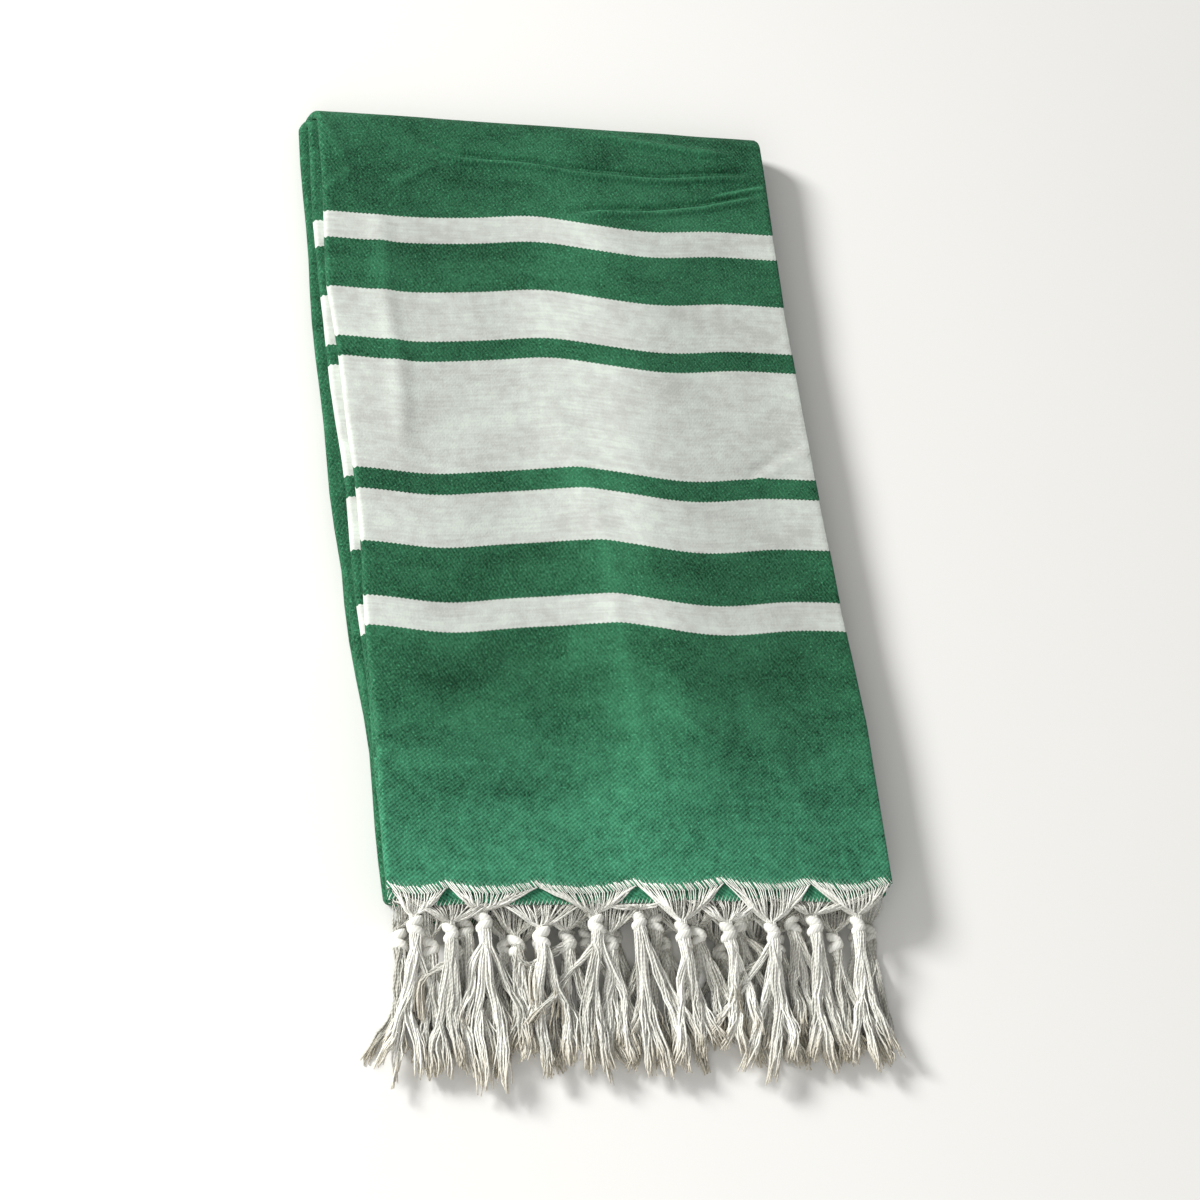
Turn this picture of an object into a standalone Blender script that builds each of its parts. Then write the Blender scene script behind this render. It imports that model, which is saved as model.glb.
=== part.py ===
"""Hammam towel, folded in four across and in four along, with its two knotted warp fringes.

Three solids: the cloth, one back-and-forth ribbon of sixteen layers, and the fringe of each woven end.
Lengths are in millimetres until a mesh is written. While it is modelled, the towel has the top hem at y = 0,
its fringes toward -Y, its width across X and the floor at z = 0; at the end its box is centred on the origin.
"""

import math
import random

import bmesh
import bpy
import numpy as np

MM = 0.001

# ---- Driving dimensions ----
CLOTH_WIDTH = 1000.0
CLOTH_LENGTH = 1800.0
CLOTH_THICKNESS = 1.0
LAYER_GAP = 0.3
FRINGE_LENGTH = 98.0
TURN_ALLOWANCE = 2.0

FOLDED_WIDTH = CLOTH_WIDTH / 4 - TURN_ALLOWANCE
FOLDED_LENGTH = CLOTH_LENGTH / 4
LAYERS_PER_STRIP = 4
PITCH = CLOTH_THICKNESS + LAYER_GAP
STRIP_PITCH = LAYERS_PER_STRIP * PITCH
HALF_STRIP = (STRIP_PITCH - LAYER_GAP) / 2
SELVEDGE_RECESS = 2.0

# Layer centres of one strip, counted from its middle: the wrap outside and the pair folded inside it
OUTER_LAYER = 1.5 * PITCH
INNER_LAYER = 0.5 * PITCH
LAYERS = (OUTER_LAYER, INNER_LAYER, -INNER_LAYER, -OUTER_LAYER)

# ---- The four strips of the double fold along the length, from the visible hem inwards ----
# level: place in the stack, from the floor up; left, right: how far each edge lies outside the plain folded
# width, at each of the edge places along the strip
EDGE_PLACES = (0.0, 85.0, 150.0, 225.0, 335.0, FOLDED_LENGTH)
STRIPS = (
    dict(name="top", level=3, left=(1.5, 0.4, -0.5, -1.5, 3.5, 0.0), right=(3.5, 4.8, 2.2, 0.0, -1.0, 1.0)),
    dict(name="bottom", level=0, left=(0.0, 0.5, 5.5, 7.0, 8.0, 5.5), right=(-1.0, -2.0, -2.5, -3.0, -4.5, -4.0)),
    dict(name="second", level=1, left=(-1.0, 0.2, 5.8, 9.5, 10.5, 8.5), right=(-3.0, -1.6, -0.6, 0.5, 1.0, -1.0)),
    dict(name="third", level=2, left=(0.5, 0.2, 2.0, 3.0, 7.0, 5.0), right=(1.0, 0.0, -0.7, -1.5, -3.0, -2.5)),
)
TOP, BOTTOM, SECOND, THIRD = STRIPS
STACK_HEIGHT = len(STRIPS) * STRIP_PITCH - LAYER_GAP
HEM_A = 0.0
HEM_B = -4.0
NEAR_FOLD_REACH = -9.0

# ---- Soft relief of the stack: ridges and troughs that run from near to far ----
# x: place across; y_near, y_far: its ends; half_width: its reach to each side; rise: height at the top
FOLDS = (
    dict(name="dip by the left edge", x=-95.0, y_near=0.0, y_far=330.0, half_width=26.0, rise=-0.8),
    dict(name="ridge left of the middle", x=-38.0, y_near=30.0, y_far=470.0, half_width=34.0, rise=1.5),
    dict(name="trough right of the middle", x=36.0, y_near=20.0, y_far=400.0, half_width=38.0, rise=-1.0),
    dict(name="soft swell by the right edge", x=95.0, y_near=90.0, y_far=470.0, half_width=34.0, rise=0.9),
)
FOLD_FADE = 90.0

# ---- Where the cloth's solid has its points, and the steps round each turn ----
STATIONS_ACROSS = np.linspace(-108.0, 108.0, 8)
STATIONS_ALONG = np.linspace(25.0, 425.0, 5)
OUTER_LOBE_STEPS = 6
INNER_LOBE_STEPS = 3
OUTER_WRAP_STEPS = 6
INNER_WRAP_STEPS = 4

# ---- Fringe ----
BACKING_LENGTH = 3.5
BACKING_GAP = 0.3
ROOT_DEPTH = 1.5
ROOT_THICKNESS = 0.8
ROOT_NOTCH = 2.0

# Tassels lie in four levels, two layers of cloth to a level, with the knots of its two layers by turns.
# The top level has the visible layer's knots where the photo shows them, and its hidden ones between these;
# the others are evenly spaced, from the lowest up, each a little to one side.
TOP_KNOTS = (-113.0, -80.0, -25.0, 17.0, 62.0, 107.0)
LEVELS = (
    dict(name="end b, lower pair", end="b", layers=LAYERS[2:], knots=10, shift=0.2),
    dict(name="end b, upper pair", end="b", layers=LAYERS[:2], knots=11, shift=-2.6),
    dict(name="end a, lower pair", end="a", layers=LAYERS[2:], knots=10, shift=2.6),
    dict(name="end a, upper pair", end="a", layers=LAYERS[:2], knots=11, shift=0.0),
)
KNOT_REACH = 114.0
LOWEST_KNOT = 2.3
KNOT_PITCH = 4.6
STRAND_PITCH = 2.1
STRAND_HEIGHT = 1.7
TIP_WIDTH = 2.0
TIP_SPREAD = 11.0

# Cross-sections down a tassel: y, width and height; settled says how far it has left its own layer's
# height for its knot's height
TASSEL_RINGS = (
    dict(name="gather", y=-10.5, width=14.0, height=0.9, settled=0.0),
    dict(name="neck", y=-15.5, width=5.5, height=2.8, settled=1.0),
    dict(name="knot", y=-19.5, width=8.5, height=4.2, settled=1.0),
    dict(name="chin", y=-24.0, width=6.5, height=3.0, settled=1.0),
)
# Strand sections after the knot: y, width, the share of the way down to the floor pile, and the share of
# its full fan
STRAND_STEPS = (
    dict(y=-36.0, width=1.7, down=0.85, fan=0.75),
    dict(y=-60.0, width=2.2, down=1.0, fan=1.0),
)
# Strands sway together, so that neighbours keep apart
SWAY = dict(width=1.6, length=70.0, across=160.0, turn_per_level=1.9, fade=30.0)

# The seven corners of a tassel's section, as shares of half its width and half its height: four on top,
# three below. A zigzag between the two rows parts it into one triangle for each strand.
CORNERS = ((-1.0, 0.5), (-0.45, 1.0), (0.45, 1.0), (1.0, 0.5), (-0.75, -0.8), (0.0, -1.0), (0.75, -0.8))
ZIGZAG = ((0, 4, 1), (1, 4, 5), (1, 5, 2), (2, 5, 6), (2, 6, 3))
# A strand's three corners, in its triangle's order, as shares of its width and height
STRAND_TWO_ON_TOP = ((-0.5, 1.0), (0.0, 0.0), (0.5, 1.0))
STRAND_ONE_ON_TOP = ((0.0, 1.0), (-0.5, 0.0), (0.5, 0.0))


def clear_scene():
    for thing in list(bpy.data.objects):
        bpy.data.objects.remove(thing, do_unlink=True)


def smooth(share):
    share = min(max(share, 0.0), 1.0)
    return share * share * (3.0 - 2.0 * share)


def material(name, colour, roughness):
    made = bpy.data.materials.new(name)
    made.use_nodes = True
    shader = made.node_tree.nodes["Principled BSDF"]
    shader.inputs["Base Color"].default_value = (*colour, 1.0)
    shader.inputs["Roughness"].default_value = roughness
    shader.inputs["Metallic"].default_value = 0.0
    made.diffuse_color = (*colour, 1.0)
    return made


# ---- Relief ----
def fold_rise(x, y):
    """Height that the named folds add at the top of the stack."""
    total = 0.0
    for fold in FOLDS:
        across = math.exp(-(((x - fold["x"]) / fold["half_width"]) ** 2))
        fade_in = smooth((y - fold["y_near"]) / FOLD_FADE)
        fade_out = smooth((fold["y_far"] - y) / FOLD_FADE)
        total += fold["rise"] * across * fade_in * fade_out
    return total


RELIEF = np.array([[fold_rise(x, y) for x in STATIONS_ACROSS] for y in STATIONS_ALONG])


def settled_height(x, y, z):
    """z after the relief, which is nothing on the floor and whole at the top of the stack.

    The relief is read straight between the stations, where every layer has its points, so that
    the layers keep their gaps.
    """
    rows = [np.interp(x, STATIONS_ACROSS, row) for row in RELIEF]
    rise = np.interp(y, STATIONS_ALONG, rows)
    if y < STATIONS_ALONG[0]:
        rise *= smooth((y - HEM_A) / (STATIONS_ALONG[0] - HEM_A))
    return z * (1.0 + rise / STACK_HEIGHT)


# ---- Section across the width: one ribbon of four layers ----
def arc(centre_x, centre_a, radius, start, stop, steps):
    """Points of an arc, each with the angle at which it lies from the centre."""
    points = []
    for step in range(steps + 1):
        angle = math.radians(start + (stop - start) * step / steps)
        points.append((centre_x + radius * math.cos(angle), centre_a + radius * math.sin(angle), angle))
    return points


def ribbon_centre(left, right):
    """Centre line from one selvedge to the other, as (x, offset, angle its first side faces)."""
    lobe_x = left + OUTER_LAYER + CLOTH_THICKNESS / 2
    fold_x = right - INNER_LAYER - CLOTH_THICKNESS / 2
    down, up = math.radians(270), math.radians(90)
    leftward = STATIONS_ACROSS[::-1]
    line = [(right, -OUTER_LAYER, down)]
    line += [(x, -OUTER_LAYER, down) for x in leftward]
    line += arc(lobe_x, 0.0, OUTER_LAYER, 270, 90, OUTER_LOBE_STEPS)
    line += [(x, OUTER_LAYER, up) for x in STATIONS_ACROSS]
    line += arc(fold_x, PITCH, INNER_LAYER, 90, -90, INNER_LOBE_STEPS)
    line += [(x, INNER_LAYER, down) for x in leftward]
    # the lobe of the inside pair runs the other way round, so the first side faces its centre
    for x, offset, angle in arc(lobe_x, 0.0, INNER_LAYER, 90, 270, INNER_LOBE_STEPS):
        line.append((x, offset, angle + math.pi))
    line += [(x, -INNER_LAYER, up) for x in STATIONS_ACROSS]
    line.append((right - SELVEDGE_RECESS, -INNER_LAYER, up))
    return line


def section(left, right):
    """Both sides of the ribbon, as pairs of (x, offset) points."""
    half = CLOTH_THICKNESS / 2
    pairs = []
    for x, offset, angle in ribbon_centre(left, right):
        dx, da = half * math.cos(angle), half * math.sin(angle)
        pairs.append(((x + dx, offset + da), (x - dx, offset - da)))
    return pairs


def first_section(left, right, place):
    """A new bmesh with the section as a row of faces; each point carries its number in the section."""
    bm = bmesh.new()
    number = bm.verts.layers.int.new("number")
    rows = []
    for first, second in section(left, right):
        pair = [bm.verts.new(place(*first)), bm.verts.new(place(*second))]
        pair[0][number] = 2 * len(rows)
        pair[1][number] = 2 * len(rows) + 1
        rows.append(pair)
    for one, other in zip(rows, rows[1:]):
        bm.faces.new((one[0], other[0], other[1], one[1]))
    return bm


def extrude_to(bm, faces, points, keep_base=False):
    """Extrude a row of faces and put each new point at the place with its number.

    The first step keeps its faces, which close the solid's end.
    """
    number = bm.verts.layers.int["number"]
    grown = bmesh.ops.extrude_face_region(bm, geom=faces)["geom"]
    for vert in (part for part in grown if isinstance(part, bmesh.types.BMVert)):
        vert.co = points[vert[number]]
    if not keep_base:
        bmesh.ops.delete(bm, geom=faces, context="FACES")
    return [part for part in grown if isinstance(part, bmesh.types.BMFace)]


def straight_diagonals(bm):
    """Part each four-cornered wall along the same diagonal in every layer, seen from above."""
    for face in [f for f in bm.faces if len(f.verts) == 4]:
        corners = list(face.verts)
        across = corners[2].co - corners[0].co
        pair = (corners[0], corners[2]) if across.x * across.y > 0 else (corners[1], corners[3])
        bmesh.utils.face_split(face, *pair)


def finish_mesh(bm, name, finish):
    bmesh.ops.recalc_face_normals(bm, faces=bm.faces)
    for vert in bm.verts:
        vert.co *= MM
    mesh = bpy.data.meshes.new(name)
    bm.to_mesh(mesh)
    bm.free()
    mesh.materials.append(finish)
    mesh.shade_smooth()
    mesh.set_sharp_from_angle(angle=math.radians(50))
    made = bpy.data.objects.new(name, mesh)
    bpy.context.collection.objects.link(made)
    return made


# ---- Path of the cloth along its length ----
def strip_middle(strip):
    return strip["level"] * STRIP_PITCH + HALF_STRIP


def strip_edges(strip, y):
    left = -FOLDED_WIDTH / 2 - np.interp(y, EDGE_PLACES, strip["left"])
    right = FOLDED_WIDTH / 2 + np.interp(y, EDGE_PLACES, strip["right"])
    return left, right


def along(strip, ys, facing):
    """Rings of one straight strip; facing is +1 where the outer wrap's side looks up."""
    rings = []
    for y in ys:
        left, right = strip_edges(strip, y)
        rings.append(dict(y=y, z=strip_middle(strip), normal=(0.0, facing), left=left, right=right))
    return rings


def around(one, other, centre_y, turn, outward, steps):
    """Rings of a wrap from one strip to the other.

    turn is +1 at the far end and -1 at the near end; outward is +1 where the section's +offset side
    is outside the wrap.
    """
    z_one, z_other = strip_middle(one), strip_middle(other)
    centre_z, radius = (z_one + z_other) / 2, abs(z_one - z_other) / 2
    start = 90.0 if z_one > z_other else -90.0
    rings = []
    for step in range(steps + 1):
        share = step / steps
        angle = math.radians(start * (1.0 - 2.0 * share))
        direction = (turn * math.cos(angle), math.sin(angle))
        edges_one, edges_other = strip_edges(one, centre_y), strip_edges(other, centre_y)
        rings.append(dict(
            y=centre_y + radius * direction[0],
            z=centre_z + radius * direction[1],
            normal=(outward * direction[0], outward * direction[1]),
            left=edges_one[0] + (edges_other[0] - edges_one[0]) * smooth(share),
            right=edges_one[1] + (edges_other[1] - edges_one[1]) * smooth(share),
        ))
    return rings


def cloth_rings():
    outer_reach = (strip_middle(TOP) - strip_middle(BOTTOM)) / 2 + HALF_STRIP
    inner_reach = (strip_middle(SECOND) - strip_middle(BOTTOM)) / 2 + HALF_STRIP
    far_y = FOLDED_LENGTH - outer_reach
    near_y = NEAR_FOLD_REACH + inner_reach
    away, back = STATIONS_ALONG, STATIONS_ALONG[::-1]
    rings = along(TOP, [HEM_A, *away], 1.0)
    rings += around(TOP, BOTTOM, far_y, 1.0, 1.0, OUTER_WRAP_STEPS)
    rings += along(BOTTOM, back, -1.0)
    rings += around(BOTTOM, SECOND, near_y, -1.0, 1.0, INNER_WRAP_STEPS)
    rings += along(SECOND, away, 1.0)
    rings += around(SECOND, THIRD, far_y, 1.0, -1.0, INNER_WRAP_STEPS)
    rings += along(THIRD, [*back, HEM_B], -1.0)
    return rings


def ring_place(ring):
    """A function that puts a section point in this ring."""
    def place(x, offset):
        y = ring["y"] + offset * ring["normal"][0]
        z = ring["z"] + offset * ring["normal"][1]
        return (x, y, settled_height(x, y, z))
    return place


def ring_points(ring):
    place = ring_place(ring)
    return [place(*point) for pair in section(ring["left"], ring["right"]) for point in pair]


def build_cloth(finish):
    rings = cloth_rings()
    bm = first_section(rings[0]["left"], rings[0]["right"], ring_place(rings[0]))
    faces = list(bm.faces)
    for ring in rings[1:]:
        faces = extrude_to(bm, faces, ring_points(ring), keep_base=ring is rings[1])
    straight_diagonals(bm)
    return finish_mesh(bm, "cloth", finish)


# ---- Fringes ----
def middles(values):
    return [(one + other) / 2 for one, other in zip(values, values[1:])]


def knot_places(level):
    if level is LEVELS[-1]:
        return sorted([*TOP_KNOTS, *middles(TOP_KNOTS)])
    return list(np.linspace(level["shift"] - KNOT_REACH, level["shift"] + KNOT_REACH, level["knots"]))


def tassel_rows(end, strip, hem):
    """A row for each tassel of one end: its layer's height, its root's span, its knot and its lane."""
    left, right = strip_edges(strip, hem)
    left += OUTER_LAYER + CLOTH_THICKNESS
    right -= INNER_LAYER + CLOTH_THICKNESS
    rows = []
    for place, level in enumerate(LEVELS):
        if level["end"] != end:
            continue
        knots = knot_places(level)
        inner = middles(knots)
        lanes = [2 * knots[0] - inner[0], *inner, 2 * knots[-1] - inner[-1]]
        for member, layer in enumerate(level["layers"]):
            own = knots[member::2]
            roots = [left, *middles(own), right]
            for index, knot in enumerate(own):
                lane = 2 * index + member
                rows.append(dict(
                    place=place, knot=knot, height=strip_middle(strip) + layer,
                    root=(roots[index] + ROOT_NOTCH / 2, roots[index + 1] - ROOT_NOTCH / 2),
                    lane=(lanes[lane], lanes[lane + 1]),
                ))
    return rows


def corner_points(centre_x, y, centre_z, width, height):
    return [(centre_x + u * width / 2, y, centre_z + v * height / 2) for u, v in CORNERS]


def strand_corner(count, index, x, y, base, width):
    """The corner of strand number count that grows from section corner index."""
    has_two_on_top = count % 2 == 0
    corners = STRAND_TWO_ON_TOP if has_two_on_top else STRAND_ONE_ON_TOP
    shift, rise = corners[ZIGZAG[count].index(index)]
    return (x + shift * width, y, base + rise * STRAND_HEIGHT)


def sway(x, y, place):
    fade = smooth((TASSEL_RINGS[-1]["y"] - y) / SWAY["fade"])
    turns = y / SWAY["length"] + x / SWAY["across"]
    return SWAY["width"] * fade * math.sin(2 * math.pi * turns + SWAY["turn_per_level"] * place)


def add_tassel(bm, row, hem, draws):
    """One tassel: root, gather, neck, knot, then its strands down to the floor."""
    number = bm.verts.layers.int["number"]
    knot_z = LOWEST_KNOT + KNOT_PITCH * row["place"]
    strand_base = STRAND_PITCH * row["place"]
    root_x = sum(row["root"]) / 2
    root_width = row["root"][1] - row["root"][0]
    root_y = hem - BACKING_GAP - BACKING_LENGTH + ROOT_DEPTH
    start = corner_points(root_x, root_y, row["height"], root_width, ROOT_THICKNESS)
    verts = []
    for index, point in enumerate(start):
        vert = bm.verts.new(point)
        vert[number] = index
        verts.append(vert)
    faces = [bm.faces.new([verts[index] for index in triangle]) for triangle in ZIGZAG]
    for ring in TASSEL_RINGS:
        z = row["height"] + (knot_z - row["height"]) * ring["settled"]
        width = min(ring["width"], root_width)
        points = corner_points(row["knot"], ring["y"], z, width, ring["height"])
        faces = extrude_to(bm, faces, points, keep_base=ring is TASSEL_RINGS[0])
    strands = bmesh.ops.extrude_discrete_faces(bm, faces=faces)["faces"]
    lane_left, lane_right = row["lane"]
    order = sorted(strands, key=lambda face: face.calc_center_median().x)
    for count, face in enumerate(order):
        tip = dict(y=TIP_SPREAD * draws.random() - FRINGE_LENGTH, width=TIP_WIDTH, down=1.0, fan=1.0)
        lane_x = lane_left + (lane_right - lane_left) * (count + 0.5) / len(order)
        for step in STRAND_STEPS + (tip,):
            x = row["knot"] + (lane_x - row["knot"]) * step["fan"]
            x += sway(x, step["y"], row["place"])
            base = (knot_z - STRAND_HEIGHT / 2) * (1.0 - step["down"]) + strand_base * step["down"]
            for vert in face.verts:
                vert.co = strand_corner(count, vert[number], x, step["y"], base, step["width"])
            if step is not tip:
                face = bmesh.ops.extrude_discrete_faces(bm, faces=[face])["faces"][0]


def build_fringe(end, strip, hem, facing, finish):
    """A narrow strip beyond the cloth's edge, of the same folded section, with its tassels joined on."""
    name = "fringe_end_" + end
    left, right = strip_edges(strip, hem)
    near = dict(y=hem - BACKING_GAP, z=strip_middle(strip), normal=(0.0, facing), left=left, right=right)
    far = dict(near, y=hem - BACKING_GAP - BACKING_LENGTH)
    bm = first_section(left, right, ring_place(near))
    extrude_to(bm, list(bm.faces), ring_points(far), keep_base=True)
    backing = finish_mesh(bm, name, finish)

    bm = bmesh.new()
    bm.verts.layers.int.new("number")
    draws = random.Random(name)
    for row in tassel_rows(end, strip, hem):
        add_tassel(bm, row, hem, draws)
    bmesh.ops.triangulate(bm, faces=bm.faces)
    tassels = finish_mesh(bm, name + "_tassels", finish)
    tassels.hide_render = True
    tassels.display_type = "WIRE"

    union = backing.modifiers.new("tassels", "BOOLEAN")
    union.operation = "UNION"
    union.solver = "EXACT"
    union.object = tassels
    return [backing, tassels]


def centre_on_floor(things):
    """Stand the towel on the floor with its box centred on the origin."""
    corners = np.array([thing.matrix_world @ vert.co for thing in things for vert in thing.data.vertices])
    low, high = corners.min(axis=0), corners.max(axis=0)
    stand = bpy.data.objects.new("towel", None)
    bpy.context.collection.objects.link(stand)
    for thing in things:
        thing.parent = stand
    stand.location = (-(low[0] + high[0]) / 2, -(low[1] + high[1]) / 2, -low[2])


def main():
    clear_scene()
    green = material("green_cotton", (0.035, 0.18, 0.095), 0.9)
    white = material("white_cotton", (0.72, 0.72, 0.70), 0.92)
    things = [build_cloth(green)]
    things += build_fringe("a", TOP, HEM_A, 1.0, white)
    things += build_fringe("b", THIRD, HEM_B, -1.0, white)
    centre_on_floor(things)


main()
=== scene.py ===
import math
import random

import bmesh
import bpy
from mathutils import Matrix, Vector, noise


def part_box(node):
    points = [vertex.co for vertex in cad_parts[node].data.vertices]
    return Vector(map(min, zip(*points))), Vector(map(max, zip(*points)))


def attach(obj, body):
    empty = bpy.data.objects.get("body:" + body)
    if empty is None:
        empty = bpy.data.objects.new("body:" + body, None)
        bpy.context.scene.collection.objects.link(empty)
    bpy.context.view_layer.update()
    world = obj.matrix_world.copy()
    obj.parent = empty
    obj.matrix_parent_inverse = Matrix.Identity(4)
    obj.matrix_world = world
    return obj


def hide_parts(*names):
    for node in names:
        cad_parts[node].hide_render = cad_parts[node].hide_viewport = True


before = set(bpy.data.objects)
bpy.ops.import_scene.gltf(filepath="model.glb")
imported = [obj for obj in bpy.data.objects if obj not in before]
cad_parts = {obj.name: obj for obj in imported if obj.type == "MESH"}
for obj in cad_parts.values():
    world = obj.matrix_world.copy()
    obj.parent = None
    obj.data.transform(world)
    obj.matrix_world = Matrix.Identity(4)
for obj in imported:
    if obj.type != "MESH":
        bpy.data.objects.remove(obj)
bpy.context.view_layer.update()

mm = 0.001
noise.seed_set(5)  # or else noise_vector differs from run to run

# Places are worked out in millimetres with the top hem at y = 0, the fringes toward -Y and the floor at z = 0.
towel = dict(
    foldedWidth=248.0,
    foldedLength=450.0,
    flatWidth=1000.0,
    clothThickness=1.0,
    layerPitch=1.3,  # one thickness and the air above it
    stripPitch=5.2,
    stackHeight=20.5,
    hemA=0.0,
    hemB=-4.0,
    nearFold=-9.0,
    selvedgeInset=2.0,  # of the inner selvedge from the fold beside it
)
outerLayer = 1.5 * towel["layerPitch"]
innerLayer = 0.5 * towel["layerPitch"]
halfStrip = outerLayer + towel["clothThickness"] / 2

# How far each strip's folded edges lie outside the plain width, at six places along it
edgePlaces = (0.0, 85.0, 150.0, 225.0, 335.0, 450.0)
strips = dict(
    top=dict(level=3, left=(1.5, 0.4, -0.5, -1.5, 3.5, 0.0), right=(3.5, 4.8, 2.2, 0.0, -1.0, 1.0)),
    bottom=dict(level=0, left=(0.0, 0.5, 5.5, 7.0, 8.0, 5.5), right=(-1.0, -2.0, -2.5, -3.0, -4.5, -4.0)),
    second=dict(level=1, left=(-1.0, 0.2, 5.8, 9.5, 10.5, 8.5), right=(-3.0, -1.6, -0.6, 0.5, 1.0, -1.0)),
    third=dict(level=2, left=(0.5, 0.2, 2.0, 3.0, 7.0, 5.0), right=(1.0, 0.0, -0.7, -1.5, -3.0, -2.5)),
)


def mix(one, other, share):
    return one + (other - one) * share


def clamped(share):
    return min(max(share, 0.0), 1.0)


def edgeOutset(values, y):
    for (one, other), (low, high) in zip(zip(edgePlaces, edgePlaces[1:]), zip(values, values[1:])):
        if y <= other:
            return mix(low, high, clamped((y - one) / (other - one)))
    return values[-1]


clothLow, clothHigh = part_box("cloth")
widestPlace = 25.0  # of the solid cloth's points along its length, the one where its top strip is widest
toFrame = Vector((clothHigh.x / mm - towel["foldedWidth"] / 2 - edgeOutset(strips["top"]["right"], widestPlace),
                  clothHigh.y / mm - towel["foldedLength"], 0.0))


def place(x, y, z):
    return (Vector((x, y, z)) + toFrame) * mm


def ease(share):
    share = clamped(share)
    return share * share * (3.0 - 2.0 * share)


def bell(distance, halfWidth):
    return math.exp(-((distance / halfWidth) ** 2))


def linear(hexColour):
    # turns an sRGB hex colour to linear
    channels = [int(hexColour[i:i + 2], 16) / 255 for i in (1, 3, 5)]
    return (*[c / 12.92 if c <= 0.04045 else ((c + 0.055) / 1.055) ** 2.4 for c in channels], 1.0)


def addNode(material, kind, inputs=None, **settings):
    # inputs go by number or name; a node given as a value is linked by its first output
    tree = material.node_tree
    node = tree.nodes.new("ShaderNode" + kind)
    for name, value in settings.items():
        setattr(node, name, value)
    for socket, value in (inputs or {}).items():
        if isinstance(value, bpy.types.Node):
            value = value.outputs[0]
        if isinstance(value, bpy.types.NodeSocket):
            tree.links.new(value, node.inputs[socket])
        else:
            node.inputs[socket].default_value = value
    return node


def newMaterial(name):
    material = bpy.data.materials.new(name)
    material.use_nodes = True
    material.node_tree.nodes.clear()
    return material


def finishMaterial(material, shader):
    addNode(material, "OutputMaterial", {"Surface": shader})
    material.diffuse_color = shader.inputs["Base Color"].default_value
    return material


def newPiece(name, bm, material):
    # points and faces go in a settled order, since bmesh operators may give them in another one at each run
    odd = Vector((1.0, 0.618, 0.414))
    bm.verts.sort(key=lambda vert: vert.co.dot(odd))
    bm.faces.sort(key=lambda face: face.calc_center_median().dot(odd))
    mesh = bpy.data.meshes.new(name)
    bm.to_mesh(mesh)
    bm.free()
    mesh.materials.append(material)
    mesh.shade_smooth()
    piece = bpy.data.objects.new(name, mesh)
    bpy.context.collection.objects.link(piece)
    return piece


# Camera, where the photograph was taken from, measured from the middle of the far fold
view = dict(
    fromFarFold=(-436.0, -977.0, 1266.0),
    elevation=57.52,
    azimuth=32.45,
    roll=29.43,
    lens=90.2,
)


def makeCamera():
    el, az, roll = (math.radians(view[key]) for key in ("elevation", "azimuth", "roll"))
    forward = Vector((math.cos(el) * math.sin(az), math.cos(el) * math.cos(az), -math.sin(el)))
    level = Vector((math.cos(az), -math.sin(az), 0.0))
    upright = level.cross(forward)
    right = level * math.cos(roll) + upright * math.sin(roll)
    up = upright * math.cos(roll) - level * math.sin(roll)
    camera = bpy.data.objects.new("camera", bpy.data.cameras.new("camera"))
    camera.data.lens = view["lens"]
    camera.data.sensor_width = 36.0
    camera.data.clip_start = 0.05
    spot = place(0.0, towel["foldedLength"], towel["stackHeight"]) + Vector(view["fromFarFold"]) * mm
    camera.matrix_world = Matrix.Translation(spot) @ Matrix((right, up, -forward)).transposed().to_4x4()
    bpy.context.collection.objects.link(camera)
    bpy.context.scene.camera = camera


makeCamera()
print("camera set")

# Soft relief of the whole stack: folds that run from near to far, each with its place across at both ends,
# its own width to the left and to the right, and its height
folds = (
    dict(nearX=-36.0, farX=-34.0, far=440.0, widths=(42.0, 25.0), rise=-2.4),
    dict(nearX=34.0, farX=30.0, far=450.0, widths=(27.0, 42.0), rise=5.2),
    dict(nearX=112.0, farX=108.0, far=440.0, widths=(26.0, 26.0), rise=-1.2),
    dict(nearX=-104.0, farX=-104.0, far=440.0, widths=(16.0, 20.0), rise=0.5),
)

cloth = dict(
    acrossTop=100,  # steps over the visible layer, and over each hidden one
    acrossHidden=12,
    lobeSteps=8,
    foldSteps=4,
    fineStep=3.4,  # along the top strip, and where the sharp creases run
    creaseStep=1.0,
    creaseBand=384.0,  # from here to the far fold
    hemStep=1.5,
    hemBand=12.0,
    hiddenStep=20.0,
    hiddenHemStep=6.0,
    hiddenHemBand=34.0,
    wrapSteps=(16, 10, 8),  # round the outer far fold, the near fold and the inner far fold
    edgeWave=(0.5, 17.0, 2.1),  # of the strips' left edges: height, run, and change from strip to strip
    foldRun=300.0,  # over which a soft fold's line comes to its far place
    foldFade=90.0,  # over which it flattens out there
    hemFade=70.0,  # over which the relief sinks toward the hems
    hemLift=0.45,  # share of the relief that is left at them
    unrest=((0.8, 36.0, 46.0), (0.16, 13.0, 19.0)),  # of cloth folded by hand: height, size across and along
    unrestSeed=4.2,
    nearFoldSlant=9.0,  # the fold under the hems reaches further out on the left
    nearFoldFade=(5.0, 60.0),
    cornerDraw=15.0,  # and is drawn in at its corner there
    cornerReach=20.0,
    creaseReach=3.0,  # in half widths
    creaseFade=0.18,  # share of a crease's line over which it fades in, and out
    sharpness=1.8,  # height of a sharp crease's step, against its rise
    creaseHighlight=(0.4, 1.35),  # how strong the painted highlight along a soft and a sharp crease is
)
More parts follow.
